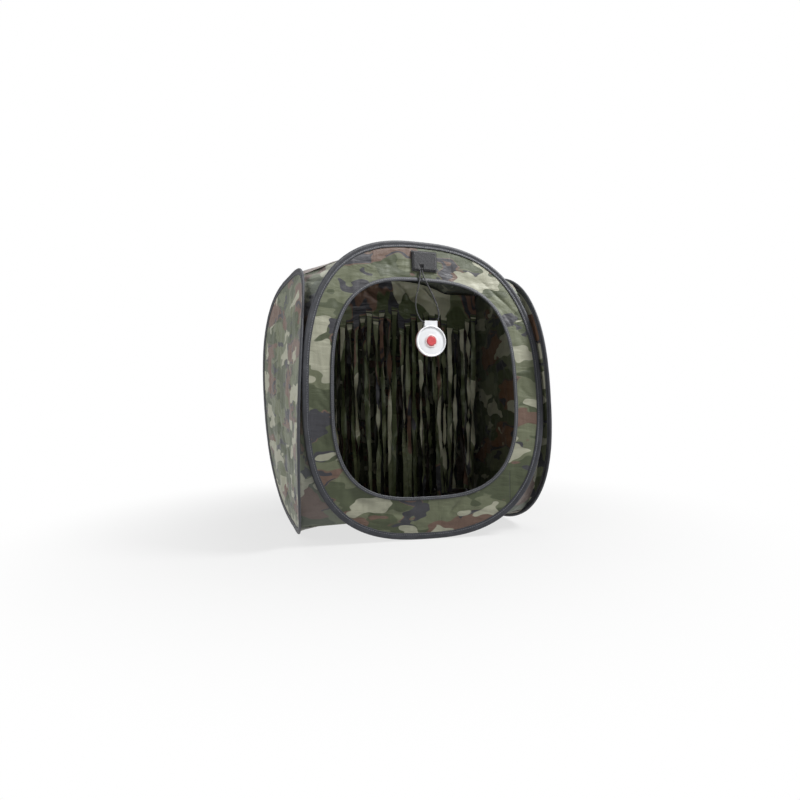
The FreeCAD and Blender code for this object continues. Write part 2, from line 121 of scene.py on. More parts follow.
class Loop:
    """One hoop in metres: x along the panel, z up, y into the tent; turned and placed like its solid."""

    def __init__(self, half_width, half_height, rounding, bow, twist, place, turn):
        self.w, self.h, self.n, self.bow, self.twist = half_width, half_height, rounding, bow, twist
        self.place, self.turn = place, math.radians(turn)

    def depth(self, x, z):
        return -self.bow * ((x / self.w) ** 2 - (z / self.h) ** 2) + self.twist * x * z / (self.w * self.h)

    def edge(self, turn, inset=0.0):
        c, s = np.cos(turn), np.sin(turn)
        x = np.sign(c) * np.abs(c) ** (2 / self.n) * self.w
        z = np.sign(s) * np.abs(s) ** (2 / self.n) * self.h
        nx = np.sign(x) * np.abs(x / self.w) ** (self.n - 1) / self.w
        nz = np.sign(z) * np.abs(z / self.h) ** (self.n - 1) / self.h
        size = np.hypot(nx, nz)
        return x - inset * nx / size, z - inset * nz / size

    def turns(self, count):
        """Angles at equal steps along the outline, and the outline's length."""
        dense = np.linspace(0, TAU, 8001)
        x, z = self.edge(dense)
        run = np.concatenate([[0], np.cumsum(np.hypot(np.diff(x), np.diff(z)))])
        return np.interp(np.arange(count) / count * run[-1], run, dense), run[-1]

    def world(self, x, z, lift=0.0):
        """Points in the tent's frame, lift further in than the sheet."""
        y = self.depth(x, z) + lift
        c, s = math.cos(self.turn), math.sin(self.turn)
        px, py = self.place
        return np.stack([px + x * c - y * s, py + x * s + y * c, z + self.h + 0 * y], -1)


FRONT_Y, SEAM_X, SIDE_W, FLARE = -0.153, 0.1708, 0.178, math.radians(3.2)
SIDE_X = SEAM_X - 0.010 + SIDE_W * math.sin(FLARE)
BACK_W = SEAM_X + 2 * SIDE_W * math.sin(FLARE) - 0.010
LOOPS = {
    "front": Loop(0.166, 0.2, 2.6, 0.012, 0.020, (0, FRONT_Y), 0),
    "left": Loop(SIDE_W, 0.189, 2.9, 0.010, 0.008, (-SIDE_X, 0), -86.8),
    "right": Loop(SIDE_W, 0.189, 2.9, 0.010, -0.008, (SIDE_X, 0), 86.8),
    "back": Loop(BACK_W, 0.195, 2.9, 0.010, 0.006, (0, -FRONT_Y), 180),
}
FRONT = LOOPS["front"]
HOLE = Loop(0.125, 0.1435, 3.0, 0, 0, (0, 0), 0)
HOLE_UP = 0.0017
PATCH = (0.003, 0.173)


# ---------------------------------------------------------------- meshes

def build(name, points, faces, uvs=None, smooth=True):
    mesh = bpy.data.meshes.new(name)
    mesh.from_pydata(np.asarray(points, float).tolist(), [], [list(map(int, f)) for f in faces])
    mesh.validate()
    if uvs is not None:
        layer = mesh.uv_layers.new(name="cloth")
        index = np.zeros(len(mesh.loops), int)
        mesh.loops.foreach_get("vertex_index", index)
        layer.data.foreach_set("uv", np.asarray(uvs, np.float32)[index].ravel())
    if smooth:
        mesh.polygons.foreach_set("use_smooth", [True] * len(mesh.polygons))
    obj = bpy.data.objects.new(name, mesh)
    bpy.context.scene.collection.objects.link(obj)
    return obj


def grid_faces(rows, cols, wrap_rows=False, wrap_cols=False, start=0):
    faces = []
    for i in range(rows if wrap_rows else rows - 1):
        for j in range(cols if wrap_cols else cols - 1):
            i2, j2 = (i + 1) % rows, (j + 1) % cols
            faces.append((start + i * cols + j, start + i * cols + j2, start + i2 * cols + j2, start + i2 * cols + j))
    return faces


def join(name, parts):
    """One mesh from (points, faces, uvs) parts."""
    points, faces, uvs, start = [], [], [], 0
    for p, f, uv in parts:
        points.append(p)
        uvs.append(uv)
        faces += [tuple(start + v for v in face) for face in f]
        start += len(p)
    return build(name, np.concatenate(points), faces, np.concatenate(uvs))


# ---------------------------------------------------------------- materials

def srgb(r, g, b, k=1.0):
    out = []
    for value in (r, g, b):
        value = value / 255
        value = value / 12.92 if value <= 0.04045 else ((value + 0.055) / 1.055) ** 2.4
        out.append(min(1.0, value * k))
    return (*out, 1.0)


class Shader:
    """A small helper that adds nodes and links them."""

    def __init__(self, name):
        self.material = bpy.data.materials.new(name)
        self.material.use_nodes = True
        self.tree = self.material.node_tree
        self.bsdf = self.tree.nodes["Principled BSDF"]

    def put(self, socket, value):
        if isinstance(value, bpy.types.NodeSocket):
            self.tree.links.new(value, socket)
        else:
            socket.default_value = value

    def node(self, kind, inputs=(), **settings):
        node = self.tree.nodes.new(kind)
        for key, value in settings.items():
            setattr(node, key, value)
        for key, value in dict(inputs).items():
            self.put(node.inputs[key], value)
        return node

    def math(self, operation, a, b=0.0, c=0.0):
        return self.node("ShaderNodeMath", {0: a, 1: b, 2: c}, operation=operation).outputs[0]

    def noise(self, vector, scale, detail=2.0, rough=0.5, distortion=0.0, w=None):
        node = self.node("ShaderNodeTexNoise", {"Vector": vector, "Scale": scale, "Detail": detail,
                                                "Roughness": rough, "Distortion": distortion},
                         noise_dimensions="4D" if w is not None else "3D")
        if w is not None:
            node.inputs["W"].default_value = w
        return node.outputs[0]

    def band(self, value, low, high):
        """0 below low, 1 above high, smooth between."""
        return self.node("ShaderNodeMapRange", {"Value": value, "From Min": low, "From Max": high},
                         interpolation_type="SMOOTHSTEP").outputs[0]

    def mix(self, factor, a, b, blend="MIX"):
        node = self.node("ShaderNodeMix", data_type="RGBA", blend_type=blend)
        self.put(node.inputs[0], factor)
        self.put(node.inputs[6], a)
        self.put(node.inputs[7], b)
        return node.outputs[2]

    def uv(self, scale=(1, 1, 1), shift=(0, 0, 0), turn=0.0):
        uv = self.node("ShaderNodeUVMap", uv_map="cloth").outputs[0]
        return self.node("ShaderNodeMapping", {"Vector": uv, "Scale": scale, "Location": shift,
                                               "Rotation": (0, 0, turn)}).outputs[0]

    def place(self, scale=(1, 1, 1)):
        where = self.node("ShaderNodeTexCoord").outputs["Object"]
        return self.node("ShaderNodeMapping", {"Vector": where, "Scale": scale}).outputs[0]

    def bump(self, height, strength, distance, normal=None):
        node = self.node("ShaderNodeBump", {"Height": height, "Strength": strength, "Distance": distance})
        if normal is not None:
            self.put(node.inputs["Normal"], normal)
        return node.outputs[0]

    def finish(self, color, rough, normal=None, **plain):
        self.put(self.bsdf.inputs["Base Color"], color)
        self.put(self.bsdf.inputs["Roughness"], rough)
        if normal is not None:
            self.put(self.bsdf.inputs["Normal"], normal)
        for key, value in plain.items():
            self.bsdf.inputs[key.replace("_", " ")].default_value = value
        return self.material


def weave(s, vector, threads):
    """Plain weave with that many threads per metre, as a height."""
    parts = s.node("ShaderNodeSeparateXYZ", {0: vector})
    warp = s.math("SINE", s.math("MULTIPLY", parts.outputs[0], threads * math.pi))
    weft = s.math("SINE", s.math("MULTIPLY", parts.outputs[1], threads * math.pi))
    return s.math("MULTIPLY", warp, weft)


def camo(name, seed, k=1.0, painted_light_wash=0.0, size=1.0, gloss=0.5, relief=1.0, sheen=0.2, shift=(0, 0, 0), turn=0.0, seam=False,
         aspect=2.0, warm=0.0):
    """Printed woodland cloth: lobed blotches in five colours, a fine weave, creases and a soft sheen."""
    s = Shader(name)
    cloth = s.uv(scale=(size, aspect * size, 1), shift=shift, turn=turn)
    wander = s.node("ShaderNodeTexNoise", {"Vector": cloth, "Scale": 30.0, "Detail": 1.0, "W": seed},
                    noise_dimensions="4D").outputs[1]
    offset = s.node("ShaderNodeVectorMath", {0: wander, 1: (0.5, 0.5, 0.5)}, operation="SUBTRACT").outputs[0]
    offset = s.node("ShaderNodeVectorMath", {0: offset, 3: 0.068}, operation="SCALE").outputs[0]
    spot = s.node("ShaderNodeVectorMath", {0: cloth, 1: offset}, operation="ADD").outputs[0]
    first = s.noise(spot, 13.0, 0.8, 0.5, 0.2, seed + 1.3)
    second = s.noise(spot, 10.0, 0.9, 0.5, 0.2, seed + 7.9)
    third = s.noise(spot, 13.0, 0.8, 0.5, 0.2, seed + 13.1)
    fourth = s.noise(spot, 17.0, 0.9, 0.5, 0.3, seed + 21.7)
    # k scales every print colour at once; the table below uses it for brighter and darker copies of one cloth, which is
    # painted light and painted shade
    color = s.mix(s.band(first, 0.50, 0.512), srgb(99, 104, 80, k), srgb(68, 75, 51, k))
    brown = s.band(second, 0.545, 0.555)
    color = s.mix(brown, color, srgb(102, 80 - 6 * warm, 68 - 14 * warm, k))
    edge = s.math("SUBTRACT", 1.0, s.band(s.math("ABSOLUTE", s.math("SUBTRACT", second, 0.58)), 0.018, 0.024))
    twig = s.math("MAXIMUM", s.math("MULTIPLY", edge, s.band(fourth, 0.47, 0.49)), s.band(fourth, 0.632, 0.640))
    color = s.mix(twig, color, srgb(52, 52, 58, k))
    color = s.mix(s.band(third, 0.585, 0.593), color, srgb(159, 159, 140, k))
    # painted light: this wash blends the print towards pale grey to stand in for bright light falling on the cloth
    if painted_light_wash:
        color = s.mix(painted_light_wash, color, srgb(176, 181, 184))
    if seam:
        at = s.node("ShaderNodeSeparateXYZ", {0: s.uv()})
        off = s.math("ABSOLUTE", s.math("SUBTRACT", at.outputs[0], 0.115))
        low = s.band(at.outputs[1], -0.112, -0.116)
        line = s.math("MULTIPLY", s.math("SUBTRACT", 1.0, s.band(off, 0.0003, 0.0008)), low)
        color = s.mix(s.math("MULTIPLY", line, 0.7), color, srgb(46, 48, 46))
    blot = s.noise(cloth, 70.0, 3.0, 0.6, 0.0, seed)
    color = s.mix(s.math("MULTIPLY", blot, 0.22), color, srgb(38, 40, 36, k))
    creases = s.noise(s.uv(scale=(14, 50, 1), turn=0.6 + turn), 1.0, 3.0, 0.55, 0.8, seed + 3)
    slubs = s.noise(s.uv(scale=(52, 13, 1), turn=-0.5), 1.0, 2.0, 0.5, 0.5, seed + 4)
    height = s.math("ADD", creases, s.math("MULTIPLY", slubs, 0.7))
    if seam:
        height = s.math("SUBTRACT", height, s.math("MULTIPLY", line, 0.25))
    normal = s.bump(height, 0.5 * relief, 0.006)
    normal = s.bump(weave(s, s.uv(), 1500), 0.12, 0.0004, normal)
    rough = s.math("ADD", gloss, s.math("MULTIPLY", blot, 0.12))
    return s.finish(color, rough, normal, Sheen_Weight=sheen, Sheen_Roughness=0.4, Specular_IOR_Level=0.45)


def tape(name, color, stitch=0.0066, gap=0.0032, worn=0.25):
    """Woven edging: fine ribs across, a sewn line with single stitches, and a paler band along the outer fold that is a
    painted highlight.
    """
    s = Shader(name)
    parts = s.node("ShaderNodeSeparateXYZ", {0: s.uv()})
    run, inset = parts.outputs[0], parts.outputs[1]
    ribs = s.math("SINE", s.math("MULTIPLY", run, TAU / 0.0011))
    cord = s.math("SINE", s.math("MULTIPLY", inset, TAU / 0.0016))
    cloud = s.noise(s.uv(scale=(1, 2, 1)), 70.0, 3.0, 0.6)
    base = s.mix(s.band(cloud, 0.35, 0.7), srgb(*color), srgb(*[v + 16 for v in color]))
    # painted highlight: the band along the outer fold is blended towards a paler colour, and worn sets its strength
    fold = s.math("SUBTRACT", 1.0, s.band(inset, 0.0, 0.0035))
    base = s.mix(s.math("MULTIPLY", fold, worn), base, srgb(*[v + 50 for v in color]))
    dash = s.band(s.math("ABSOLUTE", s.math("SUBTRACT", s.math("FRACT", s.math("DIVIDE", run, gap)), 0.5)), 0.34, 0.40)
    dash = s.math("SUBTRACT", 1.0, dash)
    row = s.math("SUBTRACT", 1.0, s.band(s.math("ABSOLUTE", s.math("SUBTRACT", inset, stitch)), 0.0003, 0.0006))
    sewn = s.math("MULTIPLY", dash, row)
    base = s.mix(sewn, base, srgb(*[v + 62 for v in color]))
    groove = s.math("MULTIPLY", s.math("SUBTRACT", 1.0, s.band(s.math("ABSOLUTE", s.math("SUBTRACT", inset, stitch)),
                                                               0.0, 0.0016)), -0.8)
    height = s.math("ADD", s.math("MULTIPLY", ribs, 0.10), s.math("MULTIPLY", cord, 0.05))
    height = s.math("ADD", height, s.math("ADD", sewn, groove))
    puckers = s.noise(s.uv(scale=(1, 0.25, 1)), 160.0, 2.0, 0.5)
    normal = s.bump(s.math("ADD", height, s.math("MULTIPLY", puckers, 1.2)), 0.5, 0.0006)
    return s.finish(base, s.math("ADD", 0.46, s.math("MULTIPLY", cloud, 0.2)), normal, Sheen_Weight=0.12,
                    Sheen_Roughness=0.35, Specular_IOR_Level=0.5)


def hook_loop(name, k=1.0):
    s = Shader(name)
    where = s.place()
    fuzz = s.noise(where, 1500.0, 3.0, 0.7)
    lumps = s.noise(where, 260.0, 2.0, 0.5)
    color = s.mix(s.band(fuzz, 0.3, 0.75), srgb(18, 18, 20, k), srgb(56, 57, 61, k))
    normal = s.bump(fuzz, 0.7, 0.0009, s.bump(lumps, 0.4, 0.0012))
    return s.finish(color, 0.85, normal, Sheen_Weight=0.5, Sheen_Roughness=0.5)


def plastic(name, color, other, rough=0.28, coat=0.3):
    s = Shader(name)
    where = s.place()
    cloud = s.noise(where, 90.0, 3.0, 0.6)
    grain = s.noise(where, 2200.0, 2.0, 0.6)
    tone = s.mix(s.band(cloud, 0.3, 0.75), srgb(*color), srgb(*other))
    normal = s.bump(grain, 0.08, 0.0002, s.bump(cloud, 0.12, 0.002))
    return s.finish(tone, s.math("ADD", rough, s.math("MULTIPLY", cloud, 0.12)), normal, Coat_Weight=coat,
                    Coat_Roughness=0.15)


def steel(name, color, rough):
    s = Shader(name)
    cloud = s.noise(s.place(), 300.0, 4.0, 0.6)
    tone = s.mix(cloud, srgb(*color), srgb(*[v * 0.6 for v in color]))
    worn = s.math("ADD", rough, s.math("MULTIPLY", cloud, 0.2))
    return s.finish(tone, worn, s.bump(cloud, 0.2, 0.0003), Metallic=1.0)


def wound(name, dark, light):
    """Braided cord."""
    s = Shader(name)
    where = s.place()
    strands = s.node("ShaderNodeTexWave", {"Vector": where, "Scale": 420.0, "Distortion": 2.0, "Detail": 1.0},
                     bands_direction="DIAGONAL").outputs[1]
    return s.finish(s.mix(strands, srgb(*dark), srgb(*light)), 0.6, s.bump(strands, 0.5, 0.0004), Sheen_Weight=0.3)


MAT = {
    "front": camo("camo_front", 3.0, relief=0.9, seam=True),
    # painted light: the left panel's cloth is brightened by k and paled by the wash, standing in for light falling on
    # that side
    "left": camo("camo_left", 11.0, k=1.5, painted_light_wash=0.08, relief=0.9, size=1.2),
    # painted light: the right panel's cloth is brightened by k, standing in for light on the wall inside the tent
    "right": camo("camo_right", 23.0, k=1.2, relief=0.8, warm=1.0),
    "back": camo("camo_back", 31.0, relief=0.9),
    # painted light: the roof cloth is brightened by k and paled by the wash, standing in for light falling on and
    # through the roof
    "roof": camo("camo_roof", 41.0, k=1.25, painted_light_wash=0.3, gloss=0.62, relief=1.2, sheen=0.1),
    "floor": camo("camo_floor", 47.0, relief=1.2),
    # painted light: the corner cloth is brightened by k and paled by the wash, standing in for bright light on it
    "gusset": camo("camo_gusset", 53.0, k=1.15, painted_light_wash=0.2, gloss=0.6, relief=1.3, sheen=0.1),
    # painted light: the front curtain is the same cloth made about twice as bright, standing in for light on its strips
    "curtain": camo("camo_curtain", 66.0, k=2.1, gloss=0.24, relief=1.5, sheen=0.1, aspect=0.45),
    # painted shade: the rear curtain is the same cloth darkened to a third, standing in for the deep shade behind the
    # front curtain
    "curtain_rear": camo("camo_curtain_rear", 71.0, k=0.3, gloss=0.36, relief=1.4, sheen=0.1, aspect=0.45),
    "tape": tape("tape_slate", (35, 37, 43)),
    "tape_opening": tape("tape_opening", (42, 44, 49), stitch=0.0028, gap=0.0028),
    "hook": hook_loop("hook_loop_black"),
    "hook_edge": hook_loop("hook_loop_edge", 1.7),
    "cord": wound("cord_grey", (24, 25, 26), (50, 52, 55)),
    "white": plastic("target_white", (240, 241, 243), (232, 234, 237)),
    "ring": plastic("target_ring", (232, 218, 218), (226, 208, 208)),
    "red": plastic("target_red", (208, 84, 88), (198, 74, 78), rough=0.22),
    "pink": plastic("target_pink", (214, 120, 118), (200, 104, 104), rough=0.35),
    "steel": steel("spring_steel", (150, 152, 156), 0.3),
    "crimp": steel("crimp_sleeve", (170, 168, 160), 0.35),
}


def dress(obj, key, body=None, stands_for=()):
    obj.data.materials.clear()
    obj.data.materials.append(MAT[key])
    if body:
        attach(obj, body)
    if stands_for:
        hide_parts(*stands_for)
    return obj


# ---------------------------------------------------------------- the cord comes first

ROUTE = [(-3.9, 4.9, 362), (-4.7, 3.5, 351), (-8.2, 3.2, 334.5), (-12.4, 3.2, 318), (-10.4, 3.2, 302.5),
         (-4.4, 3.2, 292), (2.6, 3.2, 289.2), (14.8, 3.2, 289.4), (20.2, 3.2, 294.6), (21.1, 3.2, 304.6),
         (16.9, 3.2, 318.5), (7.9, 3.2, 337), (-0.4, 3.8, 351.5), (-1.6, 5.0, 362)]


def make_cord():
    data = bpy.data.curves.new("target_loop", "CURVE")
    data.dimensions = "3D"
    spline = data.splines.new("NURBS")
    spline.points.add(len(ROUTE) - 1)
    for point, (x, y, z) in zip(spline.points, ROUTE):
        point.co = (x / 1000, y / 1000 + FRONT_Y, z / 1000, 1)
    spline.order_u = 3
    spline.use_endpoint_u = True
    spline.resolution_u = 12
    obj = bpy.data.objects.new("target_loop", data)
    bpy.context.scene.collection.objects.link(obj)
    bpy.context.view_layer.update()
    line = bpy.data.meshes.new_from_object(obj.evaluated_get(bpy.context.evaluated_depsgraph_get()))
    data.bevel_depth = 0.0009
    data.bevel_resolution = 4
    data.use_fill_caps = True
    x, y, z = ROUTE[0]
    dress(obj, "cord", "cord", ["target_cord"])
    return obj


make_cord()


# ---------------------------------------------------------------- cloth panels

def panel_bumps(x, z, seed, gap_out, gap_in=None):
    """How far the cloth stands out of the smooth sheet, in metres, at points of a panel."""
    rise = 0.0034 * swell(x / 0.085, z / 0.10, seed) + 0.0022 * swell(x / 0.03, z / 0.034, seed + 2)
    rise = rise + 0.0042 * folds(x, z, 0.9, 0.020, 0.10, seed + 4) * step(swell(x / 0.07, z / 0.07, seed + 6), 0.0, 0.6)
    second = folds(x, z, -0.8, 0.018, 0.09, seed + 8)
    rise = rise + 0.0040 * second * step(swell(x / 0.06, z / 0.06, seed + 7), 0.1, 0.6)
    taper = step(gap_out, 0.006, 0.035)
    if gap_in is not None:
        taper = taper * step(gap_in, 0.004, 0.022)
        near = np.maximum(np.abs(x - PATCH[0]) / 0.030, np.abs(z - PATCH[1]) / 0.026)
        taper = taper * step(near, 0.85, 1.5)
    return rise * taper


def front_cloth():
    rings, around = 44, 420
    turns, length = FRONT.turns(around)
    share = np.linspace(0, 1, rings)[None, :]
    ox, oz = FRONT.edge(turns, 0.0051)
    bearing = np.arctan2(oz, ox)
    hole_turns, _ = HOLE.turns(2400)
    hx, hz = HOLE.edge(hole_turns, -0.0008)
    hz = hz + HOLE_UP
    angle = np.unwrap(np.arctan2(hz, hx))
    wanted = np.unwrap(bearing)
    base = np.concatenate([angle - TAU, angle, angle + TAU])
    ix = np.interp(wanted, base, np.tile(hx, 3))
    iz = np.interp(wanted, base, np.tile(hz, 3))
    x = ix[:, None] * (1 - share) + ox[:, None] * share
    z = iz[:, None] * (1 - share) + oz[:, None] * share
    width = np.hypot(ox - ix, oz - iz)[:, None]
    run = (np.arange(around) / around * length)[:, None]
    gap_in, gap_out = width * share, width * (1 - share)
    rise = panel_bumps(x, z, 5, gap_out, gap_in)
    pucker = 0.0009 * swell(run / 0.010 + 0 * x, gap_out / 0.03, 8)
    pucker = pucker * np.exp(-gap_out / 0.014) * step(gap_out, 0.002, 0.01)
    rise = rise + pucker * step(np.hypot(x - PATCH[0], z - PATCH[1]), 0.024, 0.04)
    points = FRONT.world(x, z, rise)
    uv = np.stack([x, z], -1)
    obj = build("front_cloth", points.reshape(-1, 3), grid_faces(around, rings, wrap_rows=True), uv.reshape(-1, 2))
    dress(obj, "front", "front", ["front_panel"])


def outline_area(x, z):
    return float(abs(np.sum(x * np.roll(z, -1) - np.roll(x, -1) * z)) / 2)


def full_cloth(name, seed, count=110):
    """A whole panel: a square grid pressed into the hoop's outline."""
    loop = LOOPS[name]
    line = np.linspace(-1, 1, count)
    u, v = np.meshgrid(line, line, indexing="ij")
    reach = np.maximum(np.maximum(abs(u), abs(v)), 1e-6)
    bu, bv = u / reach, v / reach
    k = (np.abs(bu) ** loop.n + np.abs(bv) ** loop.n) ** (-1 / loop.n)
    w, h = loop.w - 0.0051, loop.h - 0.0051
    x, z = u * k * w, v * k * h
    gap = (1 - reach) * min(w, h)
    rise = panel_bumps(x, z, seed, gap)
    # upright pleats where the sheet is slack between its hoop's long sides
    rise = rise + 0.0012 * folds(x, z, 1.5, 0.022, 0.16, seed + 12) * step(gap, 0.01, 0.05)
    rise = rise + 0.0008 * swell(x / 0.012, z / 0.02, seed + 3) * np.exp(-gap / 0.012) * step(gap, 0.002, 0.01)
    points = loop.world(x, z, rise - 0.0006 * step(gap, 0.01, 0.05))
    obj = build(name + "_cloth", points.reshape(-1, 3), grid_faces(count, count), np.stack([x, z], -1).reshape(-1, 2))
    dress(obj, name, name, [name + "_panel"])
    turns, _ = loop.turns(720)
    outline_area(*loop.edge(turns, 0.0051))


front_cloth()
full_cloth("left", 17)
full_cloth("right", 27)
full_cloth("back", 37)


# ---------------------------------------------------------------- tapes

RIM = [(9.0, -0.62), (8.7, -0.92), (7.6, -1.05), (6.4, -1.12), (5.3, -1.05), (4.4, -1.35), (3.2, -1.72), (2.0, -1.75),
       (1.0, -1.45), (0.3, -0.9), (0.0, 0.0)]
EDGE = [(5.0, -0.6), (4.7, -0.9), (3.6, -1.0), (2.8, -0.95), (1.9, -1.1), (0.9, -1.1), (0.25, -0.7), (0.0, 0.0)]


def band(name, loop, edge, profile, count, key, body, stands_for, seed, overlap, rise=0.0):
    """Tape swept round an outline: profile holds inset and lift pairs in millimetres, mirrored behind."""
    half = np.array(profile) / 1000
    ring = np.concatenate([half, (half * [1, -1])[-2::-1]])
    turns, length = edge.turns(count)
    run = np.arange(count) / count * length
    wave = swell(run / 0.012, 0 * run, seed)
    wide = 1 + 0.05 * swell(run / 0.02, 0 * run + 3.3, seed)
    lap = np.exp(-((run - overlap * length) / 0.011) ** 6)
    points, uvs = [], []
    for inset, lift in ring:
        sign = -1 if profile is EDGE else 1
        out = inset * wide if inset > 0.004 else inset + 0 * wide
        x, z = edge.edge(turns, sign * out)
        z = z + rise
        lifted = lift * (1 + 0.10 * wave + 0.16 * lap)
        points.append(loop.world(x, z, lifted))
        uvs.append(np.stack([run, 0 * run + inset], -1))
    points, uvs = np.stack(points, 1), np.stack(uvs, 1)
    last = uvs[:1].copy()
    last[..., 0] = length
    points = np.concatenate([points, points[:1]])
    uvs = np.concatenate([uvs, last])
    rows, cols = points.shape[:2]
    obj = build(name, points.reshape(-1, 3), grid_faces(rows, cols, wrap_cols=True), uvs.reshape(-1, 2))
    return dress(obj, key, body, stands_for)


for index, (name, loop) in enumerate(LOOPS.items()):
    band(name + "_tape", loop, loop, RIM, 520, "tape", name, [name + "_binding"], 3 + index,
         0.735 if name == "left" else 0.77)
band("opening_tape", FRONT, HOLE, EDGE, 460, "tape_opening", "front", ["opening_binding"], 9, 0.77,
     HOLE_UP)


# ---------------------------------------------------------------- roof, floor and corner gussets

RIM_INSET, LINING = 0.004, 0.0023
DIAGONAL = (0.7071, 0.7071)     # from the front left corner towards the back right one
MERGE = 0.00002                 # points nearer than this become one


def parting(loop):
    return math.acos(0.62 ** (loop.n / 2))


def rim_line(loop, first, last, count, inset=0.0):
    share = np.linspace(0, 1, count)
    turn = first + (last - first) * share
    x, z = loop.edge(turn, RIM_INSET + inset * np.sin(math.pi * share))
    return loop.world(x, z, LINING)


def ruled(low, high, count):
    share = np.linspace(0, 1, count)[None, :, None]
    return low[:, None, :] * (1 - share) + high[:, None, :] * share


def lid_patches(up, cols=90, rows=70):
    """The roof (up = 1) or floor (up = -1) as three ruled strips of points."""
    arc = {name: rim_line(loop, up * (math.pi - parting(loop)), up * parting(loop), cols)
           for name, loop in LOOPS.items()}
    share = np.linspace(0, 1, cols)[:, None]
    right_line = arc["front"][-1] * (1 - share) + arc["back"][0] * share
    left_line = arc["back"][-1] * (1 - share) + arc["front"][0] * share
    return [ruled(arc["front"], arc["back"][::-1], rows), ruled(right_line, arc["right"], 18),
            ruled(left_line, arc["left"], 18)]


def lid_height(up):
    """A function that gives the lid's height over points x, y near the middle strip."""
    strip = lid_patches(up, 160, 2)[0]
    front_line, back_line = strip[:, 0], strip[:, 1]

    def height(x, y):
        a = np.interp(x, front_line[:, 0], front_line[:, 2])
        order = np.argsort(back_line[:, 0])
        b = np.interp(x, back_line[order, 0], back_line[order, 2])
        t = (y - FRONT_Y) / (-2 * FRONT_Y)
        return a * (1 - t) + b * t
    return height


ROOF_Z, FLOOR_Z = lid_height(1), lid_height(-1)


def lid(up, name, key, node):
    parts = []
    for strip in lid_patches(up):
        rows, cols = strip.shape[:2]
        x, y = strip[..., 0], strip[..., 1]
        across = np.linspace(0, 1, cols)[None, :]
        along = np.linspace(0, 1, rows)[:, None]
        if cols > 30:
            hold = step(np.minimum(across, 1 - across), 0.0, 0.16)
        else:
            hold = step(1 - across, 0.0, 0.5) * step(np.minimum(along, 1 - along), 0.0, 0.16)
        sag = 0.0035 * swell(x / 0.09, y / 0.07, 60 + up) + 0.003 * folds(x, y, 1.2, 0.02, 0.11, 62 + up)
        sag = sag + 0.0022 * folds(x, y, 0.2, 0.017, 0.10, 66 + up)
        strip = strip.copy()
        billow = 0.003 if up > 0 else -0.001
        strip[..., 2] += up * hold * (0.6 * sag + billow)
        uv = np.stack([x, y], -1)
        parts.append((strip.reshape(-1, 3), grid_faces(rows, cols), uv.reshape(-1, 2)))
    # two halves, cut from the front left corner to the back right one: one between the front and right hoops, one
    # between the left and back hoops
    for half, side, bodies in (("right", 1, ("front", "right")), ("left", -1, ("left", "back"))):
        obj = join(name + "_" + half, parts)
        cut_half(obj, side)
        dress(obj, key, None, [node])
        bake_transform(obj)


def cut_half(obj, side):
    """Keeps what lies on one side of the upright plane through two opposite corners."""
    weld(obj)
    work = bmesh.new()
    work.from_mesh(obj.data)
    across = Vector((DIAGONAL[1], -DIAGONAL[0], 0)) * side
    bmesh.ops.bisect_plane(work, geom=work.verts[:] + work.edges[:] + work.faces[:], plane_co=(0, 0, 0),
                           plane_no=across, clear_inner=True)
    work.to_mesh(obj.data)
    work.free()


def weld(obj):
    work = bmesh.new()
    work.from_mesh(obj.data)
    bmesh.ops.remove_doubles(work, verts=work.verts, dist=MERGE)
    work.to_mesh(obj.data)
    work.free()


def quad_area(strip):
    a = strip[1:, :-1] - strip[:-1, :-1]
    b = strip[:-1, 1:] - strip[:-1, :-1]
    return float(np.linalg.norm(np.cross(a, b), axis=-1).sum())


lid(1, "roof_cloth", "roof", "roof_panel")
lid(-1, "floor_cloth", "floor", "floor_panel")


def gusset(name, outer, side, flank, flank_side, seed):
    """The cloth in a corner, gathered between two hoops from the roof down to the floor."""
    def upright(loop, which, inset):
        part = parting(loop)
        first, last = (part, -part) if which > 0 else (math.pi - part, math.pi + part)
        return rim_line(loop, first, last, 150, inset)
    sheet = ruled(upright(LOOPS[outer], side, 0.0), upright(LOOPS[flank], flank_side, 0.021), 26)
    rows, cols = sheet.shape[:2]
    middle = np.array([0, 0, 0.19])
    inward = middle - sheet.reshape(-1, 3).mean(0)
    inward[2] = 0
    inward = inward / np.linalg.norm(inward)
    across = np.linspace(0, 1, cols)[None, :]
    ends = np.linspace(0, 1, rows)[:, None]
    z = sheet[..., 2]
    gather = 0.5 + 0.5 * np.exp(-ends / 0.18) + 0.4 * np.exp(-(1 - ends) / 0.18)
    hold = np.sin(math.pi * across) ** 0.7
    wave = folds(across * 0.03, z, 0.25, 0.011, 0.05, seed) + 0.5 * swell(across * 2, z / 0.03, seed + 1)
    sheet = sheet + (inward * 0.0042)[None, None, :] * (wave * hold * gather)[..., None]
    uv = np.stack([0 * z + across * 0.05, z], -1)
    obj = build(name, sheet.reshape(-1, 3), grid_faces(rows, cols), uv.reshape(-1, 2))
    dress(obj, "gusset", None, [name.replace("_cloth", "")])
    return obj


front_left = gusset("front_left_gusset_cloth", "front", -1, "left", 1, 81)
front_right = gusset("front_right_gusset_cloth", "front", 1, "right", -1, 83)
back_left = gusset("back_left_gusset_cloth", "back", 1, "left", -1, 85)
back_right = gusset("back_right_gusset_cloth", "back", -1, "right", 1, 87)
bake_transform(front_left)
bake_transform(front_right)
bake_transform(back_left)
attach(back_right, "back")
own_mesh(back_right)


# ---------------------------------------------------------------- curtains

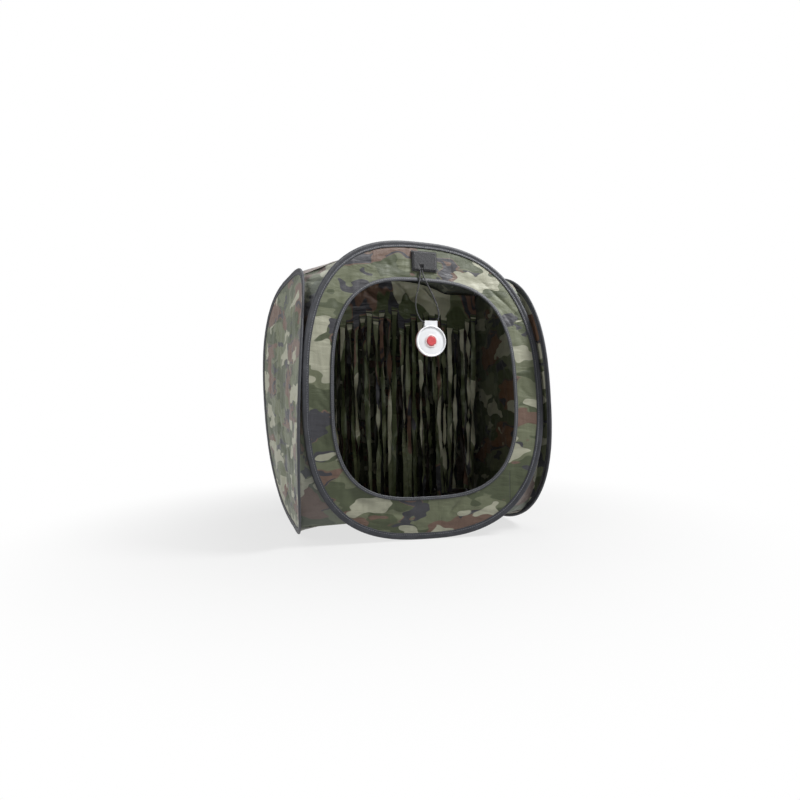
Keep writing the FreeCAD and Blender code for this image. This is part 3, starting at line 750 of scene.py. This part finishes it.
def curtain(name, y, count, seed, key, node):
    pitch = 0.011
    slit = 0.347
    half = count * pitch / 2
    rows, per = 30, 4
    cols = count * per + 1
    low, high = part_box(node)
    x = np.linspace(-half, half, cols)[:, None] * np.ones((1, rows))
    x = np.clip(x, low.x + 0.001, high.x - 0.001)
    top = np.minimum(ROOF_Z(x[:, :1], y) - 0.001, high.z)
    z = slit + (top - slit) * np.linspace(0, 1, rows)[None, :]
    hang = step(top - z, 0.0, 0.012)
    pull = 0.010 * folds(x, z, 0.85, 0.024, 0.09, seed) - 0.010 * folds(x, z, -0.75, 0.022, 0.09, seed + 2)
    pull = pull + 0.004 * folds(x, z, 1.5, 0.012, 0.05, seed + 3) * step(slit + 0.05 - z, 0.0, 0.04)
    pull = pull + 0.0035 * swell(x / 0.035, z / 0.05, seed + 4)
    join_low = step(z, slit, slit + 0.02)
    ys = y + pull * hang * join_low
    band_points = np.stack([x, ys, z], -1)
    uv = np.stack([x, z], -1)
    parts = [(band_points.reshape(-1, 3), grid_faces(cols, rows), uv.reshape(-1, 2))]
    area = quad_area(band_points)
    rng = np.random.default_rng(seed)
    steps_down = 90
    for k in range(count):
        mid = -half + (k + 0.5) * pitch
        foot = float(FLOOR_Z(mid, y)) + 0.004 + rng.uniform(0, 0.010)
        begin = slit - rng.uniform(0.0, 0.034)
        share = np.linspace(0, 1, steps_down)
        z = slit + (foot - slit) * share
        free = step(begin - z, 0.0, 0.02)
        wild = rng.uniform(0.7, 1.7)
        cut_x, cut_z = rng.uniform(-0.2, 0.2), rng.uniform(-0.1, 0.1)
        turn = wild * (2.8 * swell(z / 0.085, 0 * z + k * 1.7, seed + 7)) * step(begin - z, 0.002, 0.055)
        turn = turn + rng.uniform(-0.5, 0.5) * free
        wide = 0.5 * pitch * (1 - free) + 0.5 * 0.0098 * (0.75 + 0.25 * swell(z / 0.05, 0 * z + k, seed + 8)) * free
        lean = rng.uniform(-0.009, 0.009)
        sway_x = free * (lean * share + 0.0022 * swell(z / 0.06, 0 * z + 2.3 * k, seed + 9))
        sway_y = free * (rng.uniform(-0.007, 0.007) * share + 0.005 * swell(z / 0.07, 0 * z + 3.1 * k, seed + 11))
        sway_y = sway_y + free * 0.0011 * swell(z / 0.010, 0 * z + 5.1 * k, seed + 13)
        row = []
        for edge in (-1, -0.33, 0.33, 1):
            curl = 0.0009 * (edge * edge - 0.5) * free
            px = mid + edge * wide * np.cos(turn) + sway_x + curl * np.sin(turn)
            py = y + edge * wide * np.sin(turn) + sway_y + curl * np.cos(turn)
            row.append(np.stack([np.clip(px, low.x - 0.002, high.x + 0.002), py, z], -1))
        strip = np.stack(row, 1)
        uvs = np.stack([np.array([-1, -0.33, 0.33, 1])[None, :] * 0.0048 + mid + cut_x * free[:, None],
                        z[:, None] + cut_z * free[:, None] + 0 * strip[..., 0]], -1)
        parts.append((strip.reshape(-1, 3), grid_faces(steps_down, 4), uvs.reshape(-1, 2)))
        area += quad_area(strip)
    obj = join(name, parts)
    weld(obj)
    dress(obj, key, "left", [node])
    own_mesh(obj)
    return obj


curtain("front_curtain_cloth", 0.0466, 30, 5, "curtain", "front_curtain")
curtain("rear_curtain_cloth", 0.0766, 29, 6, "curtain_rear", "rear_curtain")


# ---------------------------------------------------------------- patch

def pad(name, half_w, half_h, low, high, key, node, seed, notch=None):
    """A soft square that follows the front panel, low and high being its lifts in metres."""
    count = 40
    line = np.linspace(-1, 1, count)
    u, v = np.meshgrid(line, line, indexing="ij")
    x, z = PATCH[0] + u * half_w, PATCH[1] + v * half_h
    rim = np.minimum((1 - abs(u)) * half_w, (1 - abs(v)) * half_h)
    crown = (1 - np.clip(rim / 0.0016, 0, 1)) ** 2
    rough = 0.00012 * swell(x / 0.003, z / 0.003, seed)
    face = low + (high - low) * 0.55 * crown + rough
    if notch is not None:
        left, right, top_z, deep = notch
        inside = step(x, left - 0.0006, left) * step(-x, -right - 0.0006, -right) * step(-z, -top_z, -top_z + 0.002)
        face = face + deep * inside
    wobble = 0.0003 * swell(z / 0.006, u * 3, seed + 1)
    front_face = FRONT.world(x + wobble, z + wobble, face)
    back_face = FRONT.world(x + wobble, z + wobble, 0 * x + high)
    n = count
    faces = [f for f in grid_faces(n, n)] + [tuple(reversed(f)) for f in grid_faces(n, n, start=n * n)]
    border = [(i, 0) for i in range(n)] + [(n - 1, j) for j in range(1, n)]
    border += [(i, n - 1) for i in range(n - 2, -1, -1)] + [(0, j) for j in range(n - 2, 0, -1)]
    ids = [i * n + j for i, j in border]
    for a, b in zip(ids, ids[1:] + ids[:1]):
        faces.append((a, a + n * n, b + n * n, b))
    points = np.concatenate([front_face.reshape(-1, 3), back_face.reshape(-1, 3)])
    uv = np.stack([x, z], -1).reshape(-1, 2)
    obj = build(name, points, faces, np.concatenate([uv, uv]))
    return dress(obj, key, "front", [node])


def seam_line(name, half_w, half_h, lift, key, stitch=0.0021, gap=0.0007, thick=0.0003):
    """A row of single stitches round a rectangle on the patch."""
    sides = [((-half_w, half_h), (half_w, half_h)), ((half_w, half_h), (half_w, -half_h)),
             ((half_w, -half_h), (-half_w, -half_h)), ((-half_w, -half_h), (-half_w, half_h))]
    parts = []
    for (x0, z0), (x1, z1) in sides:
        length = math.hypot(x1 - x0, z1 - z0)
        number = int(length / (stitch + gap))
        for k in range(number):
            a, b = (k + 0.12) / number, (k + 0.88) / number
            ax, az = PATCH[0] + x0 + (x1 - x0) * a, PATCH[1] + z0 + (z1 - z0) * a
            bx, bz = PATCH[0] + x0 + (x1 - x0) * b, PATCH[1] + z0 + (z1 - z0) * b
            dx, dz = (bx - ax) / math.hypot(bx - ax, bz - az), (bz - az) / math.hypot(bx - ax, bz - az)
            ring = []
            for share in (0, 0.2, 0.5, 0.8, 1):
                fat = thick * (0.35 if share in (0, 1) else 1.0)
                dip = 0.00025 if share in (0, 1) else 0
                for corner in range(6):
                    c, s = math.cos(corner * TAU / 6), math.sin(corner * TAU / 6)
                    x = ax + (bx - ax) * share - dz * c * fat
                    z = az + (bz - az) * share + dx * c * fat
                    ring.append(FRONT.world(np.array(x), np.array(z), lift + dip + s * fat * 0.7))
            faces = grid_faces(5, 6, wrap_cols=True) + [tuple(range(6)), tuple(range(29, 23, -1))]
            parts.append((np.array(ring), faces, np.zeros((30, 2))))
    obj = join(name, parts)
    return dress(obj, key, "front")


pad("patch_backing", 0.0185, 0.014, -0.0015, -0.0007, "hook_edge", "patch_base", 1)
pad("patch_front", 0.0173, 0.0128, -0.0044, -0.0015, "hook", "patch_cover", 2,
    notch=(-0.0052, -0.0002, PATCH[1] - 0.0048, 0.0023))
seam_line("patch_stitches", 0.0150, 0.0106, -0.0045, "hook_edge")


# ---------------------------------------------------------------- target

AXIS = Vector((0.0086, FRONT_Y + 0.0032, 0.2654))


def lathe(name, profile, key, nodes, segments=96):
    """A turned piece round the target's axis: radius and height pairs in millimetres, height towards +Y."""
    points, faces = [], []
    for radius, height in profile:
        for k in range(segments):
            a = TAU * k / segments
            points.append((AXIS.x + radius / 1000 * math.cos(a), AXIS.y + height / 1000,
                           AXIS.z + radius / 1000 * math.sin(a)))
    rows = len(profile)
    faces = grid_faces(rows, segments, wrap_cols=True)
    faces.append(tuple(range(segments)))
    faces.append(tuple((rows - 1) * segments + k for k in reversed(range(segments))))
    obj = build(name, points, faces, np.array(points)[:, [0, 2]])
    return dress(obj, key, "target", nodes)


def arc(cx, cy, r, first, last, count=6):
    out = []
    for k in range(count + 1):
        a = math.radians(first + (last - first) * k / count)
        out.append((cx + r * math.cos(a), cy + r * math.sin(a)))
    return out


lathe("target_face", [(0.05, 0.3), (20.6, 0.3)] + arc(20.55, -0.1, 0.4, 90, 0, 3) + arc(19.85, -1.75, 1.1, 0, -180, 10)
      + [(18.6, -1.45), (18.2, -1.28), (17.4, -1.35), (16.6, -1.55), (12, -1.62), (9.2, -1.55), (0.05, -1.55)],
      "white", ["target_disc"])
lathe("target_halo", [(6.7, -1.35)] + arc(7.45, -1.75, 0.7, 180, 270) + arc(8.0, -1.75, 0.7, -90, 0) + [(8.75, -1.35)],
      "ring", ["target_ring"])
lathe("target_knob",
      [(6.4, -1.5)] + arc(5.5, -2.2, 0.9, 0, -90) + [(4.5, -3.08), (3.0, -2.95), (1.5, -2.88), (0.05, -2.86)],
      "red", ["target_button"])
lathe("target_rear", [(0.05, 3.3), (18.8, 3.3)] + arc(19.2, 2.3, 1.0, 90, 20) + [(20.9, 1.5), (20.9, 0.3), (0.05, 0.3)],
      "pink", ["target_back_plate"])


# ---------------------------------------------------------------- CAD nodes that stay

for name, obj in NODES.items():
    if obj.hide_render:
        continue
    key = "white" if name == "target_tab" else "crimp" if name.endswith("ferrule") else "steel"
    obj.data.materials.clear()
    obj.data.materials.append(MAT[key])


# ---------------------------------------------------------------- floor, backdrop and light

def make_stage():
    """A pale floor that looks white to the camera and keeps the object's soft shadow round it."""
    mesh = bpy.data.meshes.new("floor")
    mesh.from_pydata([(-12, -12, 0), (12, -12, 0), (12, 12, 0), (-12, 12, 0)], [], [(0, 1, 2, 3)])
    floor = bpy.data.objects.new("floor", mesh)
    bpy.context.scene.collection.objects.link(floor)
    floor.location.z = -0.0003
    s = Shader("stage_white")
    s.finish(s.mix(s.noise(s.place(), 3.0, 1.0), (0.38, 0.38, 0.38, 1), (0.42, 0.42, 0.42, 1)), 0.9)
    path = s.node("ShaderNodeLightPath").outputs
    seen = s.math("MAXIMUM", path["Is Glossy Ray"], path["Is Transmission Ray"])
    seen = s.math("MAXIMUM", path["Is Camera Ray"], seen)
    far = s.node("ShaderNodeVectorMath", {0: s.place()}, operation="LENGTH").outputs["Value"]
    share = s.math("MULTIPLY", seen, s.math("ADD", 0.72, s.math("MULTIPLY", s.band(far, 0.2, 0.62), 0.28)))
    white = s.node("ShaderNodeEmission", {"Color": (1, 1, 1, 1), "Strength": 1.0}).outputs[0]
    both = s.node("ShaderNodeMixShader", {0: share, 1: s.bsdf.outputs[0], 2: white}).outputs[0]
    s.tree.links.new(both, s.tree.nodes["Material Output"].inputs["Surface"])
    mesh.materials.append(s.material)


def make_world():
    world = bpy.data.worlds.new("world")
    bpy.context.scene.world = world
    world.use_nodes = True
    tree = world.node_tree
    back = tree.nodes["Background"]
    path = tree.nodes.new("ShaderNodeLightPath")
    seen = tree.nodes.new("ShaderNodeMath")
    seen.operation = "MAXIMUM"
    tree.links.new(path.outputs["Is Camera Ray"], seen.inputs[0])
    tree.links.new(path.outputs["Is Transmission Ray"], seen.inputs[1])
    level = tree.nodes.new("ShaderNodeMapRange")
    tree.links.new(seen.outputs[0], level.inputs["Value"])
    level.inputs["To Min"].default_value = 0.31
    level.inputs["To Max"].default_value = 1.0
    tree.links.new(level.outputs[0], back.inputs["Strength"])
    back.inputs["Color"].default_value = (1, 1, 1, 1)


def area_light(name, place, aim, size, power):
    data = bpy.data.lights.new(name, "AREA")
    data.shape = "RECTANGLE"
    data.size, data.size_y = size
    data.energy = power
    lamp = bpy.data.objects.new(name, data)
    bpy.context.scene.collection.objects.link(lamp)
    lamp.location = place
    lamp.rotation_euler = (Vector(aim) - Vector(place)).to_track_quat("-Z", "Y").to_euler()


make_stage()
make_world()
area_light("key", (0.95, -0.75, 1.45), (0.05, -0.1, 0.28), (0.5, 0.5), 42)
area_light("fill", (-1.5, -0.25, 0.85), (0, 0, 0.2), (1.0, 1.0), 9)
area_light("top", (0, 0.2, 2.0), (0, 0, 0.2), (1.6, 1.6), 12)

bpy.context.scene.view_settings.view_transform = "Standard"
